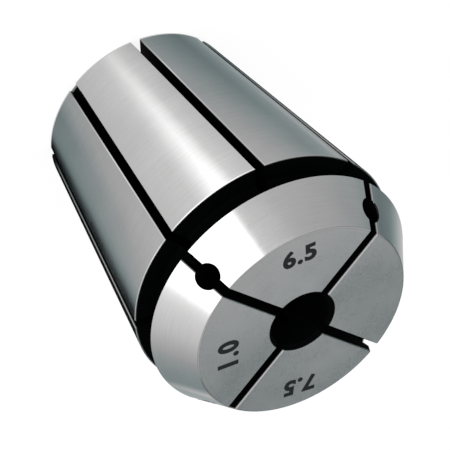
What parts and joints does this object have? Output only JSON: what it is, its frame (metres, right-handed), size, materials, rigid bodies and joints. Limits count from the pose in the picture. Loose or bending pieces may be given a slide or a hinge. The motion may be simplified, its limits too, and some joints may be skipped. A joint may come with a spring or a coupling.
{
  "type": "er collet",
  "caption": "One-piece slotted spring collet: long tapered body, groove behind a steep-coned nose, and a plain bore that closes on a round tool shank.",
  "frame": {"origin": "centre of the flat rear face, where the collet stands", "axes": "+Z along the bore towards the nose; the nose cuts lie on X and Y and the rear cuts half way between them"},
  "size_m": [0.033, 0.033, 0.04],
  "materials": {
    "ground_spring_steel": "fine cylindrical-ground, with a satin turned face"
  },
  "bodies": {
    "root": {"collet": "ground_spring_steel"}
  },
  "joints": []
}
